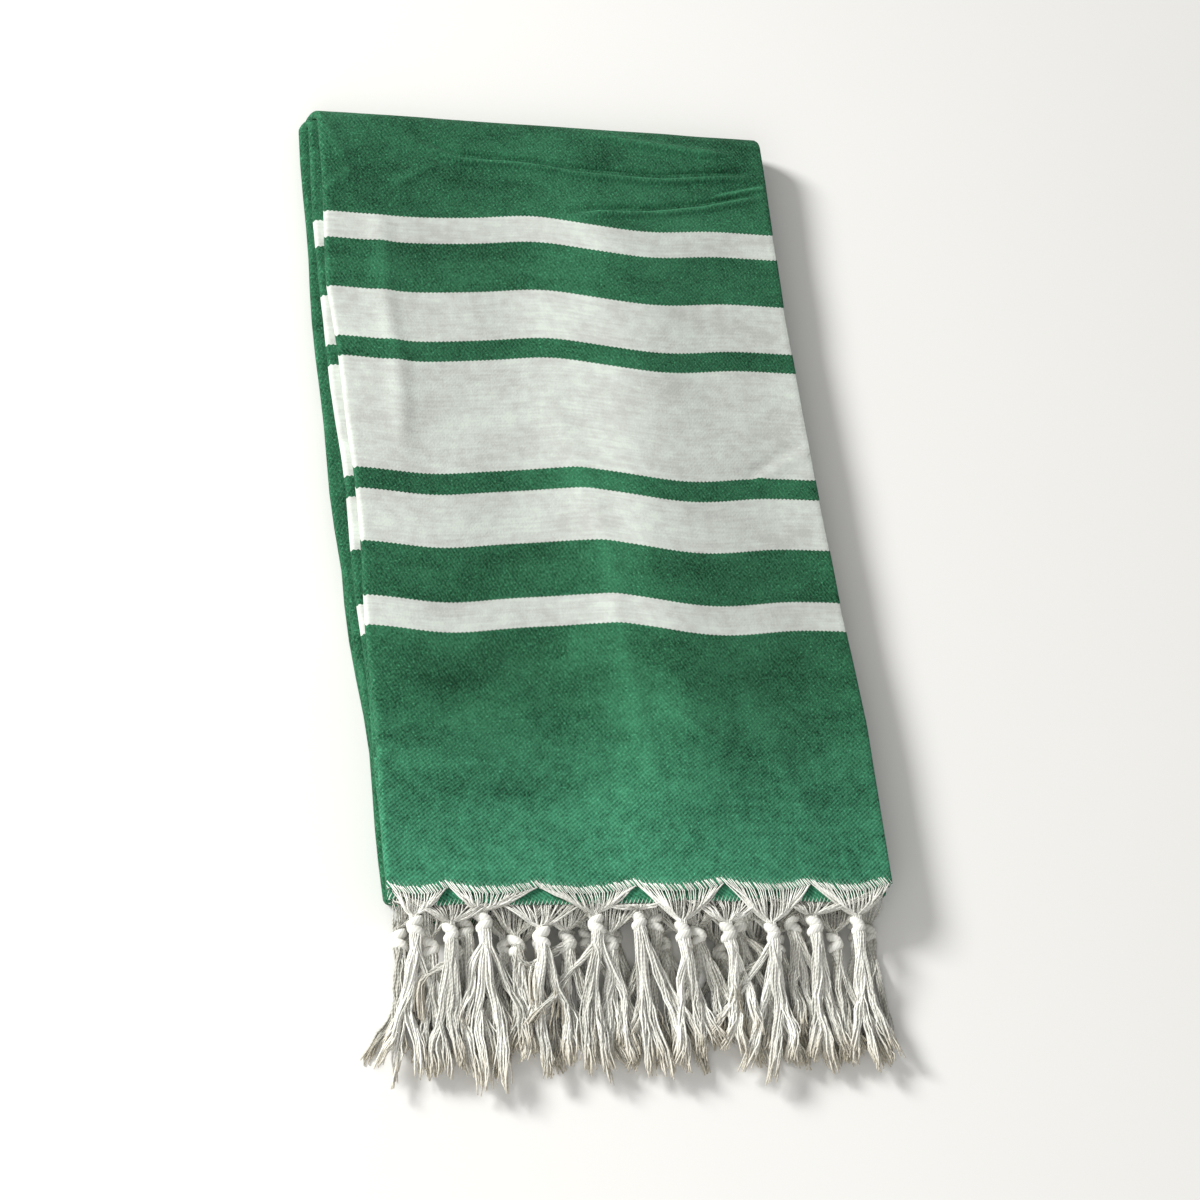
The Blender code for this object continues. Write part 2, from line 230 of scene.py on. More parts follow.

# Creases of the visible layer: a line of places, its height and its half width; a sharp one is a small step
# that faces the far end, and each raised crease has a painted highlight along it
creases = (
    dict(line=((-80, 434), (-50, 420), (-29, 419), (-4, 417), (17, 415), (65, 415), (112, 420), (127, 424)),
         rise=2.8, halfWidth=2.7, isSharp=True),
    dict(line=((-14, 452), (21, 446), (46, 437), (81, 434), (114, 432)),
         rise=2.3, halfWidth=2.6, isSharp=False),
    dict(line=((4, 384), (24, 392), (43, 394), (85, 398), (126, 409)), rise=2.1, halfWidth=2.4, isSharp=True),
    dict(line=((88, 404), (108, 410), (127, 415)), rise=0.8, halfWidth=1.6, isSharp=True),
    dict(line=((-90, 400), (-62, 417)), rise=0.9, halfWidth=3.0, isSharp=False),
    dict(line=((-123, 440), (-112, 413)), rise=1.3, halfWidth=3.2, isSharp=False),
    dict(line=((-126, 393), (-108, 411)), rise=1.0, halfWidth=3.0, isSharp=False),
    dict(line=((-97, 392), (-98, 333), (-95, 286), (-97, 230)), rise=1.2, halfWidth=5.5, isSharp=False),
    dict(line=((-22, 285), (-9, 240), (3, 180), (6, 90), (16, 20)), rise=0.9, halfWidth=7.0, isSharp=False),
    dict(line=((84, 224), (110, 241), (128, 250)), rise=1.8, halfWidth=2.6, isSharp=True),
    dict(line=((16, 96), (36, 82), (54, 69)), rise=0.9, halfWidth=3.6, isSharp=False),
    dict(line=((-64, 128), (-37, 121), (-14, 130)), rise=-1.1, halfWidth=8.0, isSharp=False),
    dict(line=((-121, 96), (-100, 84), (-70, 102)), rise=-1.2, halfWidth=8.0, isSharp=False),
    dict(line=((60, 120), (78, 60), (92, 20)), rise=0.7, halfWidth=8.0, isSharp=False),
)

# The line that the stripes take, seen from the camera: bumps across, each with its shift at the near stripe
# and at the far one
wavers = (
    dict(nearX=-86.0, farX=-86.0, widths=(26.0, 26.0), near=-2.7, far=0.2),
    dict(nearX=-60.0, farX=-86.0, widths=(28.0, 28.0), near=-1.6, far=-1.6),
    dict(nearX=-14.0, farX=-14.0, widths=(21.0, 21.0), near=0.3, far=0.8),
    dict(nearX=26.0, farX=-14.0, widths=(27.0, 27.0), near=3.0, far=3.0),
    dict(nearX=80.0, farX=48.0, widths=(24.0, 28.0), near=-1.4, far=-1.4),
    dict(nearX=48.0, farX=48.0, widths=(30.0, 30.0), near=-1.9, far=-1.3),
    dict(nearX=108.0, farX=88.0, widths=(18.0, 34.0), near=0.7, far=0.7),
)
waverShape = dict(
    base=-1.0,
    span=(150.0, 380.0),  # places of the near and the far stripe
    fades=((20.0, 110.0), (12.0, 50.0)),  # where they begin from the hem and the far fold, and grow over
    seenRise=0.54,  # how far a millimetre of height moves the stripes along the towel in that view
)

# Paler and darker spots on the visible layer's green: the pale band along the middle and the pale spots at the
# left and the far right are painted light, the dark spots above the far crease painted shade, the rest uneven
# dark patches
paintedSpotsAndPatches = (
    dict(x=2.0, y=200.0, reach=(26.0, 420.0), share=0.3),
    dict(x=-108.0, y=134.0, reach=(30.0, 13.0), share=0.2),
    dict(x=-79.0, y=112.0, reach=(28.0, 12.0), share=-0.24),
    dict(x=-120.0, y=97.0, reach=(14.0, 10.0), share=-0.2),
    dict(x=-62.0, y=50.0, reach=(30.0, 6.0), share=-0.4),
    dict(x=-40.0, y=80.0, reach=(14.0, 5.0), share=-0.25),
    dict(x=-120.0, y=32.0, reach=(12.0, 10.0), share=-0.3),
    dict(x=84.0, y=42.0, reach=(34.0, 28.0), share=-0.3),
    dict(x=62.0, y=112.0, reach=(28.0, 12.0), share=-0.15),
    dict(x=-84.0, y=412.0, reach=(46.0, 26.0), share=-0.15),
    dict(x=88.0, y=386.0, reach=(50.0, 30.0), share=0.36),
    dict(x=112.0, y=428.0, reach=(14.0, 18.0), share=-0.2),
    dict(x=62.0, y=424.0, reach=(44.0, 6.0), share=-0.25),
)

# Places across of the visible layer's knots, and how far to the sides the hidden ones reach
topKnots = (-113.0, -80.0, -25.0, 17.0, 62.0, 107.0)
knotReach = 114.0


def middles(values):
    return [(one + other) / 2 for one, other in zip(values, values[1:])]


def spreadKnots(count, shift):
    return [shift + mix(-knotReach, knotReach, index / (count - 1)) for index in range(count)]


shownKnots = sorted([*topKnots, *middles(topKnots)])
# Levels of tassels from the floor up: which end, its layers' offsets in their strip, how far out the hems lie,
# and the knots
levels = (
    dict(end="b", layers=(-innerLayer, -outerLayer), outs=(0.0, 0.0), knots=spreadKnots(10, 0.2)),
    dict(end="b", layers=(outerLayer, innerLayer), outs=(0.0, 0.0), knots=spreadKnots(11, -2.6)),
    dict(end="a", layers=(-innerLayer, -outerLayer), outs=(0.0, 0.0), knots=middles(shownKnots)),
    dict(end="a", layers=(outerLayer, innerLayer), outs=(0.0, 6.5), knots=shownKnots),
)
hemShape = dict(
    notch=-0.5,
    depth=(2.5, 3.6),  # how far the knots draw a hidden and the visible hem out
    roundness=0.7,
    reach=30.0,  # how far in from the hem the cloth is still drawn along
    cornerReach=16.0,
)


def isVisible(end, offset):
    return end == "a" and offset == outerLayer


def ownHem(end, offset):
    # the level and the member of it that a layer of cloth ends in
    for level in levels:
        for member, layer in enumerate(level["layers"]):
            if level["end"] == end and abs(layer - offset) < 0.01:
                return level, member


def hemShift(x, level, member):
    # how far a hem lies out, and the knots have drawn it out of line: back at the notches, out toward the knots
    half = towel["foldedWidth"] / 2
    depth = hemShape["depth"][isVisible(level["end"], level["layers"][member])]
    notches = [-half, *middles(level["knots"][member::2]), half]
    out = level["outs"][member] * ease((half - abs(x)) / hemShape["cornerReach"])
    for one, other in zip(notches, notches[1:]):
        if x <= other or other is notches[-1]:
            share = clamped((x - one) / (other - one))
            return hemShape["notch"] - out - depth * math.sin(math.pi * share) ** hemShape["roundness"]


def stripMiddle(strip):
    return strip["level"] * towel["stripPitch"] + halfStrip


def stripEdges(strip, y):
    half = towel["foldedWidth"] / 2
    height, run, change = cloth["edgeWave"]
    wave = height * math.sin(y / run + change * strip["level"])
    return -half - edgeOutset(strip["left"], y) - wave, half + edgeOutset(strip["right"], y)


def acrossFold(fold, x, y):
    # 1 on the fold's line, easing to 0 on both sides of it
    aside = x - mix(fold["nearX"], fold["farX"], clamped(y / cloth["foldRun"]))
    return bell(aside, fold["widths"][aside > 0])


def lift(x, y):
    # height of the relief at the top of the stack
    rise = 0.0
    for fold in folds:
        rise += fold["rise"] * acrossFold(fold, x, y) * ease((fold["far"] - y) / cloth["foldFade"])
    for height, across, along in cloth["unrest"]:
        rise += height * noise.noise(Vector((x / across, y / along, cloth["unrestSeed"])))
    return rise * mix(cloth["hemLift"], 1.0, ease(y / cloth["hemFade"]))


def settled(x, y, z):
    return z * (1.0 + lift(x, y) / towel["stackHeight"])


def creaseLift(x, y):
    # height that the creases add to the visible layer, and the painted highlight along the raised ones
    total = worn = 0.0
    spot = Vector((x, y))
    for crease in creases:
        reach = cloth["creaseReach"] * crease["halfWidth"]
        lows = [min(point[i] for point in crease["line"]) - reach for i in (0, 1)]
        highs = [max(point[i] for point in crease["line"]) + reach for i in (0, 1)]
        if not (lows[0] < x < highs[0] and lows[1] < y < highs[1]):
            continue
        best, beyond, along, run = 1e9, 0.0, 0.0, 0.0
        for one, other in zip(crease["line"], crease["line"][1:]):
            one, other = Vector(one), Vector(other)
            span = (other - one).length
            share = clamped((spot - one).dot(other - one) / span ** 2)
            nearest = one.lerp(other, share)
            if (nearest - spot).length < best:
                best, beyond, along = (nearest - spot).length, spot.y - nearest.y, run + share * span
            run += span
        fade = cloth["creaseFade"] * run
        strength = ease(along / fade) * ease((run - along) / fade) * bell(best, crease["halfWidth"])
        if crease["isSharp"]:
            side = math.copysign(best, beyond)
            total -= cloth["sharpness"] * crease["rise"] * strength * side / crease["halfWidth"]
        else:
            total += crease["rise"] * strength
        # a painted highlight along each raised crease
        if crease["rise"] > 0.0:
            worn = max(worn, cloth["creaseHighlight"][crease["isSharp"]] * strength ** 3)
    return total, worn


def waver(x, y):
    low, high = waverShape["span"]
    share = (y - low) / (high - low)
    shift = waverShape["base"] - waverShape["seenRise"] * lift(x, y)
    for bump in wavers:
        shift += mix(bump["near"], bump["far"], share) * acrossFold(bump, x, y)
    (near, nearRun), (far, farRun) = waverShape["fades"]
    return shift * ease((y - near) / nearRun) * ease((towel["foldedLength"] - far - y) / farRun)


def acrossSteps():
    # the steps from selvedge to selvedge: which part of the section, and the share of the way along it;
    # the parts' lengths are rough, and brought to the flat width at the end
    wide, outerTurn, innerTurn = towel["foldedWidth"] - towel["selvedgeInset"], 6.0, 2.0
    parts = (
        ("under", cloth["acrossHidden"], wide), ("outerLobe", cloth["lobeSteps"], outerTurn),
        ("over", cloth["acrossTop"], wide), ("rightFold", cloth["foldSteps"], innerTurn),
        ("third", cloth["acrossHidden"], wide), ("innerLobe", cloth["foldSteps"], innerTurn),
        ("fourth", cloth["acrossHidden"], wide),
    )
    steps, flat = [], 0.0
    for name, count, length in parts:
        for index in range(count):
            steps.append((name, index / count, flat + length * index / count))
        flat += length
    steps.append(("fourth", 1.0, flat))
    scale = towel["flatWidth"] / flat
    return [(name, share, u * scale) for name, share, u in steps]


def sectionPoint(name, share, left, right):
    # x and offset from the strip's middle
    lobeX = left + halfStrip
    foldX = right - innerLayer - towel["clothThickness"] / 2
    angle = math.pi * share
    if name == "under":
        return mix(right, lobeX, share), -outerLayer
    if name == "outerLobe":
        return lobeX - outerLayer * math.sin(angle), -outerLayer * math.cos(angle)
    if name == "over":
        return mix(lobeX, foldX, share), outerLayer
    if name == "rightFold":
        return foldX + innerLayer * math.sin(angle), towel["layerPitch"] + innerLayer * math.cos(angle)
    if name == "third":
        return mix(foldX, lobeX, share), innerLayer
    if name == "innerLobe":
        return lobeX - innerLayer * math.sin(angle), innerLayer * math.cos(angle)
    return mix(lobeX, right - towel["selvedgeInset"], share), -innerLayer


def stripRings(name, ys, facing):
    strip = strips[name]
    z, normal = stripMiddle(strip), (0.0, facing)
    return [dict(y=y, z=z, normal=normal, edges=stripEdges(strip, y), strip=name) for y in ys]


def wrapRings(one, other, centreY, turn, outward, steps):
    # rings of a turn from one strip to the other; outward is +1 where the layers' offset points out of it
    zOne, zOther = stripMiddle(strips[one]), stripMiddle(strips[other])
    radius, start = abs(zOne - zOther) / 2, math.copysign(math.pi / 2, zOne - zOther)
    edgesOne, edgesOther = stripEdges(strips[one], centreY), stripEdges(strips[other], centreY)
    rings = []
    for step in range(1, steps):
        share = step / steps
        angle = start * (1.0 - 2.0 * share)
        out = (turn * math.cos(angle), math.sin(angle))
        rings.append(dict(
            y=centreY + radius * out[0], z=(zOne + zOther) / 2 + radius * out[1],
            normal=(outward * out[0], outward * out[1]), strip="wrap",
            edges=[mix(a, b, ease(share)) for a, b in zip(edgesOne, edgesOther)],
        ))
    return rings


def evenPlaces(start, stop, step):
    count = max(1, round(abs(stop - start) / step))
    return [mix(start, stop, index / count) for index in range(count + 1)]


def clothRings():
    outerReach = (stripMiddle(strips["top"]) - stripMiddle(strips["bottom"])) / 2 + halfStrip
    innerReach = (stripMiddle(strips["second"]) - stripMiddle(strips["bottom"])) / 2 + halfStrip
    farY = towel["foldedLength"] - outerReach
    nearY = towel["nearFold"] + innerReach
    hemBand, low, tuck = cloth["hemBand"], cloth["creaseBand"], cloth["hiddenHemBand"]
    wide, (outerSteps, nearSteps, innerSteps) = cloth["hiddenStep"], cloth["wrapSteps"]
    topYs = evenPlaces(towel["hemA"], hemBand, cloth["hemStep"])[:-1]
    topYs += evenPlaces(hemBand, low, cloth["fineStep"])[:-1] + evenPlaces(low, farY, cloth["creaseStep"])
    tuckedYs = evenPlaces(farY, tuck, wide)[:-1] + evenPlaces(tuck, towel["hemB"], cloth["hiddenHemStep"])
    rings = stripRings("top", topYs, 1.0)
    rings += wrapRings("top", "bottom", farY, 1.0, 1.0, outerSteps)
    rings += stripRings("bottom", evenPlaces(farY, nearY, wide), -1.0)
    rings += wrapRings("bottom", "second", nearY, -1.0, 1.0, nearSteps)
    rings += stripRings("second", evenPlaces(nearY, farY, wide), 1.0)
    rings += wrapRings("second", "third", farY, 1.0, -1.0, innerSteps)
    rings += stripRings("third", tuckedYs, -1.0)
    length = 0.0
    rings[0]["run"] = 0.0
    for one, other in zip(rings, rings[1:]):
        length += math.hypot(other["y"] - one["y"], other["z"] - one["z"])
        other["run"] = length
    for ring in rings:
        ring["toEndB"] = length - ring["run"]
    return rings


def clothPoint(name, share, ring):
    # where a point of the flat cloth comes to lie, how far the knots draw it, and its painted light and shade
    # with the uneven patches
    x, offset = sectionPoint(name, share, *ring["edges"])
    y = ring["y"] + offset * ring["normal"][0]
    if ring["z"] < stripMiddle(strips["second"]) + 0.1:  # the two strips of the near fold
        start, fade = cloth["nearFoldFade"]
        corner = cloth["cornerDraw"] * bell(x + towel["foldedWidth"] / 2, cloth["cornerReach"])
        slant = cloth["nearFoldSlant"] * 2 * x / towel["foldedWidth"]
        y += (slant + corner) * (1.0 - ease((ring["y"] + start) / fade))
    z = ring["z"] + offset * ring["normal"][1]
    if name in ("outerLobe", "innerLobe", "rightFold"):
        hemLayer = outerLayer if name == "outerLobe" and offset > 0 else None
    else:
        hemLayer = offset
    shift = drawn = worn = 0.0
    if ring["strip"] == "top":
        shown = name == "over" or (name == "outerLobe" and offset > 0)
        if shown:
            shift += waver(x, y)
            rise, worn = creaseLift(x, y)
            z += rise
            # each spot paints the green paler or darker: painted light and shade, and uneven patches
            for shade in paintedSpotsAndPatches:
                apart = math.hypot((x - shade["x"]) / shade["reach"][0], (y - shade["y"]) / shade["reach"][1])
                worn += shade["share"] * bell(apart, 1.0)
    for end, run in (("a", ring["run"]), ("b", ring["toEndB"])):
        if run < hemShape["reach"] and hemLayer is not None:
            drawn = hemShift(x, *ownHem(end, hemLayer)) * (1.0 - ease(run / hemShape["reach"]))
            shift += drawn
    return place(x, y + shift, settled(x, y, z)), drawn, worn


weave = dict(
    darkGreen="#022E19",  # weft floats
    paleGreen="#387956",  # white warp seen between green weft
    coolGreen="#3B8060",  # and near the hem
    white="#CAD1C8",
    # the same white in shade, mixed in by the mottling below as painted shade
    whiteInShade="#B5B7B1",
    warpWhite="#E4E4DC",
    twillPitch=2.5,  # along the weft: ribs of about 1.6 mm, drawn as coarse as they need to show
    twillSlope=1.16,  # steeper than the threads' crossing
    stripeMiddle=260.4,  # from the hem
    wideHalf=32.8,  # half of the middle stripe's width; the others are as far from its middle on both sides
    mediumPlace=59.8,
    mediumHalf=14.95,
    narrowPlace=113.4,
    narrowHalf=8.2,
    sawPitch=2.2,  # teeth of the stripes' borders
    sawDepth=0.7,
    roughness=0.9,
    sheen=0.03,
    specular=0.05,
    looseReach=130.0,  # the weft lies looser, so paler, this far from the hem
    looseShare=0.08,
    ribShare=(0.07, 0.42),  # how strongly the ribs show, in close weave and in loose
    heatherShare=(0.35, 0.85),  # and the mottling
    fleckShare=0.7,
    patchShare=0.5,
    # how much the painted light and shade of the creases and spots change the green
    paintedShadingShare=0.45,
    evenShare=0.775,  # more of it darkens all the greens
    paleRange=(0.08, 0.8),
    leastPale=0.06,
    nepRange=(0.69, 0.88),  # the noise above this is a pale nep
    nepShare=0.75,
    brightShares=(0.45, 0.65, 0.65),  # of streaks, mottling and patches in the white: the streaks are thick places of the weft; the mottling and patches mix in the white in shade as painted shade of small wrinkles
    brightRange=(0.67, 1.08),
    openReach=(5.5, 2.5),  # of the last picks at the visible and the hidden hems, where the warp shows
    openShare=0.36,
    hatchPitch=1.95,
    hatchSlant=0.55,
    hatchEdge=(-0.05, 0.15),  # softness of the hatching
    bumpShares=(0.6, 0.2),  # of the ribs' height in green and in white
    bumpHeight=0.3,
)
# Grain of the weave: the size of each kind across and along, and its finer steps
grains = dict(
    flecks=dict(size=(1.111, 1.613), detail=1.0, roughness=0.6),  # thread floats, as coarse as needed to show
    heather=dict(size=(6.667, 6.667), detail=3.0, roughness=0.65),  # uneven dye of the yarn
    patches=dict(size=(41.667, 20.833), detail=3.0, roughness=0.5),  # uneven beating of the weft
    streaks=dict(size=(16.667, 1.4286), detail=2.0, roughness=0.5),  # thick places of the weft
    neps=dict(size=(1.25, 1.0), detail=0.0, roughness=0.5, start=(7.3, 2.1)),  # knobs of short fibres
)


def cottonTwill():
    # piece-woven cotton twill, green weft on a white warp: fine slanting ribs, heathered, dull
    made = newMaterial("cottonTwillStriped")
    flat = addNode(made, "UVMap", uv_map="flat")
    split = addNode(made, "SeparateXYZ", {0: flat})
    across = addNode(made, "Math", {0: split.outputs[0], 1: 1000.0}, operation="MULTIPLY")
    along = addNode(made, "Math", {0: split.outputs[1], 1: 1000.0}, operation="MULTIPLY")

    # stripes, their borders with the saw teeth of the thread crossings
    teeth = addNode(made, "Math", {0: across, 1: weave["sawPitch"] / 2}, operation="PINGPONG")
    border = addNode(made, "Math", {0: teeth, 1: 2 * weave["sawDepth"] / weave["sawPitch"], 2: along},
                     operation="MULTIPLY_ADD")
    offset = addNode(made, "Math", {0: border, 1: weave["stripeMiddle"]}, operation="SUBTRACT")
    offset = addNode(made, "Math", {0: offset}, operation="ABSOLUTE")
    isWhite = addNode(made, "Math", {0: offset, 1: weave["wideHalf"]}, operation="LESS_THAN")
    for stripe in ("medium", "narrow"):
        band = addNode(made, "Math", {0: offset, 1: weave[stripe + "Place"], 2: weave[stripe + "Half"]},
                       operation="COMPARE")
        isWhite = addNode(made, "Math", {0: isWhite, 1: band}, operation="ADD")

    # slanting ribs, and the grain
    slant = addNode(made, "Math", {0: along, 1: -weave["twillSlope"], 2: across}, operation="MULTIPLY_ADD")
    phase = addNode(made, "Math", {0: slant, 1: weave["twillPitch"] / (2 * math.pi)}, operation="DIVIDE")
    wave = addNode(made, "Math", {0: phase}, operation="SINE")
    rib = addNode(made, "Math", {0: wave, 1: 0.5, 2: 0.5}, operation="MULTIPLY_ADD")
    grain = {}
    for name, values in grains.items():
        scale = [1.0 / (size * mm) for size in values["size"]]
        spread = addNode(made, "Mapping", {0: flat, "Scale": (*scale, 1.0),
                                           "Location": (*values.get("start", (0.0, 0.0)), 0.0)})
        grain[name] = addNode(made, "TexNoise", {"Vector": spread, "Scale": 1.0, "Detail": values["detail"],
                                                 "Roughness": values["roughness"]}, noise_dimensions="2D")

    # greens: how much of the pale warp shows between the green floats
    loose = addNode(made, "MapRange", {0: along, 1: weave["looseReach"], 2: 0.0},
                    interpolation_type="SMOOTHSTEP")
    ribShare = addNode(made, "MapRange", {0: loose, 3: weave["ribShare"][0], 4: weave["ribShare"][1]})
    mottle = addNode(made, "MapRange", {0: loose, 3: weave["heatherShare"][0], 4: weave["heatherShare"][1]})
    shown = addNode(made, "Math", {0: wave, 1: ribShare, 2: -weave["evenShare"]}, operation="MULTIPLY_ADD")
    shown = addNode(made, "Math", {0: grain["flecks"], 1: 2 * weave["fleckShare"], 2: shown},
                    operation="MULTIPLY_ADD")
    shown = addNode(made, "Math", {0: shown, 1: 0.5}, operation="MULTIPLY")
    shown = addNode(made, "Math", {0: grain["heather"], 1: mottle, 2: shown}, operation="MULTIPLY_ADD")
    shown = addNode(made, "Math", {0: grain["patches"], 1: weave["patchShare"], 2: shown},
                    operation="MULTIPLY_ADD")
    shown = addNode(made, "MapRange", {0: shown, 1: weave["paleRange"][0], 2: weave["paleRange"][1]},
                    clamp=False)
    # painted light and shade of the creases and spots, with the uneven patches; paler too near the hem and at
    # the neps
    paintedShadingNode = addNode(made, "Attribute", attribute_name="worn")
    paler = addNode(made, "Math", {0: loose, 1: weave["looseShare"]}, operation="MULTIPLY")
    paler = addNode(made, "Math", {0: paintedShadingNode.outputs["Fac"], 1: weave["paintedShadingShare"], 2: paler},
                    operation="MULTIPLY_ADD")
    neps = addNode(made, "MapRange", {0: grain["neps"], 1: weave["nepRange"][0], 2: weave["nepRange"][1],
                                      3: 0.0, 4: weave["nepShare"]})
    paler = addNode(made, "Math", {0: paler, 1: neps})
    shown = addNode(made, "Math", {0: shown, 1: paler})
    shown = addNode(made, "Math", {0: shown, 1: weave["leastPale"]}, operation="MAXIMUM")
    pale = addNode(made, "Mix", {0: loose, 6: linear(weave["paleGreen"]), 7: linear(weave["coolGreen"])},
                   data_type="RGBA")
    green = addNode(made, "Mix", {0: shown, 6: linear(weave["darkGreen"]), 7: pale.outputs[2]},
                    data_type="RGBA", clamp_factor=False)

    # white, and the hatching of bare warp at the hems
    # the white's streaks of thick weft, and painted shade of small wrinkles from its mottling
    bright = None
    for name, share in zip(("streaks", "heather", "patches"), weave["brightShares"]):
        bright = addNode(made, "Math", {0: grain[name], 1: share, 2: bright or 0.0}, operation="MULTIPLY_ADD")
    bright = addNode(made, "MapRange", {0: bright, 1: weave["brightRange"][0], 2: weave["brightRange"][1]})
    white = addNode(made, "Mix", {0: bright, 6: linear(weave["whiteInShade"]), 7: linear(weave["white"])},
                    data_type="RGBA")
    striped = addNode(made, "Mix", {0: isWhite, 6: green.outputs[2], 7: white.outputs[2]}, data_type="RGBA")
    openWeave = addNode(made, "Attribute", attribute_name="openWeave")
    aslant = addNode(made, "Math", {0: along, 1: weave["hatchSlant"], 2: across}, operation="MULTIPLY_ADD")
    comb = addNode(made, "Math", {0: aslant, 1: weave["hatchPitch"] / 2}, operation="PINGPONG")
    spare = addNode(made, "Math", {0: comb, 1: 2.0 / weave["hatchPitch"]}, operation="MULTIPLY")
    opened = addNode(made, "Math", {0: openWeave.outputs["Fac"], 1: weave["openShare"]}, operation="MULTIPLY")
    opened = addNode(made, "Math", {0: opened, 1: spare}, operation="SUBTRACT")
    bare = addNode(made, "MapRange", {0: opened, 1: weave["hatchEdge"][0], 2: weave["hatchEdge"][1]})
    colour = addNode(made, "Mix", {0: bare, 6: striped.outputs[2], 7: linear(weave["warpWhite"])},
                     data_type="RGBA")

    relief = addNode(made, "MapRange", {0: isWhite, 3: weave["bumpShares"][0], 4: weave["bumpShares"][1]})
    height = addNode(made, "Math", {0: rib, 1: relief, 2: grain["flecks"]}, operation="MULTIPLY_ADD")
    bump = addNode(made, "Bump", {"Height": height, "Strength": 0.3, "Distance": weave["bumpHeight"] * mm})
    shader = addNode(made, "BsdfPrincipled", {
        "Base Color": colour.outputs[2], "Roughness": weave["roughness"], "Normal": bump,
        "Sheen Weight": weave["sheen"], "Sheen Roughness": 0.6, "Specular IOR Level": weave["specular"],
    })
    return finishMaterial(made, shader)


def makeCloth(material):
    # the flat cloth as a grid, folded layer by layer
    steps, rings = acrossSteps(), clothRings()
    lastStep, lastRing = len(steps) - 1, len(rings) - 1
    bm = bmesh.new()
    bmesh.ops.create_grid(bm, x_segments=lastStep, y_segments=lastRing, size=0.5)
    flatPlaces = {}
    # painted light and shade of the visible layer, and where the weave lies open at the hems
    paintedShadingLayer, opening = bm.verts.layers.float.new("worn"), bm.verts.layers.float.new("openWeave")
    for vert in bm.verts:
        step = round((vert.co.x + 0.5) * lastStep)
        ring = rings[round((vert.co.y + 0.5) * lastRing)]
        name, share, u = steps[step]
        vert.co, drawn, vert[paintedShadingLayer] = clothPoint(name, share, ring)
        openReach = weave["openReach"][name != "over"]
        vert[opening] = max(0.0, 1.0 - min(ring["run"], ring["toEndB"]) / openReach)
        # distance from the nearer hem, so that both ends are striped alike; the weave stays straight at the hem
        flatPlaces[vert] = (u * mm, (min(ring["run"], ring["toEndB"]) + drawn) * mm)
    layer = bm.loops.layers.uv.new("flat")
    for face in bm.faces:
        for loop in face.loops:
            loop[layer].uv = flatPlaces[loop.vert]
    piece = newPiece("foldedCloth", bm, material)
    wall = piece.modifiers.new("clothThickness", "SOLIDIFY")
    wall.thickness = towel["clothThickness"] * mm
    wall.offset = 0.0
    return piece


foldedCloth = makeCloth(cottonTwill())
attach(foldedCloth, "root")
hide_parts("cloth")
print("cloth folded:", len(foldedCloth.data.vertices), "points")

fringe = dict(
    threadPitch=1.4,  # one drawn yarn for each group of warp ends
    hatch=4.0,  # how far in from the hem the yarns lie on the visible layer
    hatchLift=(0.42, 0.6),  # over the middle of the cloth there, at the inner end and nearer the hem
    slant=2.4,
    inset=(2.2, 1.6),  # of the first and the last yarn from the cloth's edges
    knot=-19.5,  # middle of a knot, as far from the hem as most lie
    neck=5.5,  # above the knot's middle, and below it
    chin=-5.0,
    neckSize=(2.2, 1.3),  # half width and half height of the bundle that goes into the knot
    knotZ=2.3,
    knotPitch=4.6,
    knotSize=(1.04, 1.2),
    knotScatter=((-4.0, 4.0), (-9.0, 4.0), (-1.0, 1.0)),  # of the hidden knots
    pilePitch=2.1,  # height that each level of tassels adds
    length=94.0,
    shortened=(4.0, 24.0),  # by how much a hidden strand may end before that
    lean=12.0,
    spread=(16.0, 34.0),  # of a hidden tassel's strands at their tips
    tipScatter=2.5,
    hatchRadius=0.27,
    ropeRadius=0.54,
    ropeWidth=2.6,  # of the rope that the warp makes along both sides of a V down to the knot
    bulge=2.2,  # height that the yarns stand up by on their way there
    pull=(0.5, 0.85),  # how far a visible and a hidden layer's yarns slant down before they join the rope
    unevenness=(0.3, 1.1),  # of their places along the hem, in steps
    yarnRadius=0.48,
    tipRadius=0.46,
    wispRadius=0.36,  # of the looser yarns that show only below the knots
    sides=5,
    gatherSteps=6,
    hangSteps=15,
    bundleWidth=3.1,  # half of the bundle just under its knot
    bundleHeight=2.1,
    bundled=0.18,  # share of the hanging length over which the bundle falls apart
    strandRadius=1.85,  # of a strand of several yarns, till it frays
    fray=(2.3, 3.9),
    strandBow=3.5,
    strandLift=(0.4, 3.6),
    strandSway=3.4,
    yarnSway=1.5,
    strays=0.3,  # share of the loose yarns that follow another strand
    tipTaper=0.7,
    # share of a strand's own tone in its yarns', and the painted light added on the top level and painted shade
    # below it
    yarnTone=(0.65, 0.28, -0.06),
    wispTone=(0.5, 0.12, -0.1),
)

# How far each of the top level's knots lies from the usual place along its tassel
topDrops = {-113.0: 1.0, -96.5: -2.5, -80.0: 3.0, -52.5: -5.0, -25.0: 1.5, -4.0: 3.0, 17.0: -3.5, 39.5: -4.5,
            62.0: -5.0, 84.5: -1.0, 107.0: -1.0}
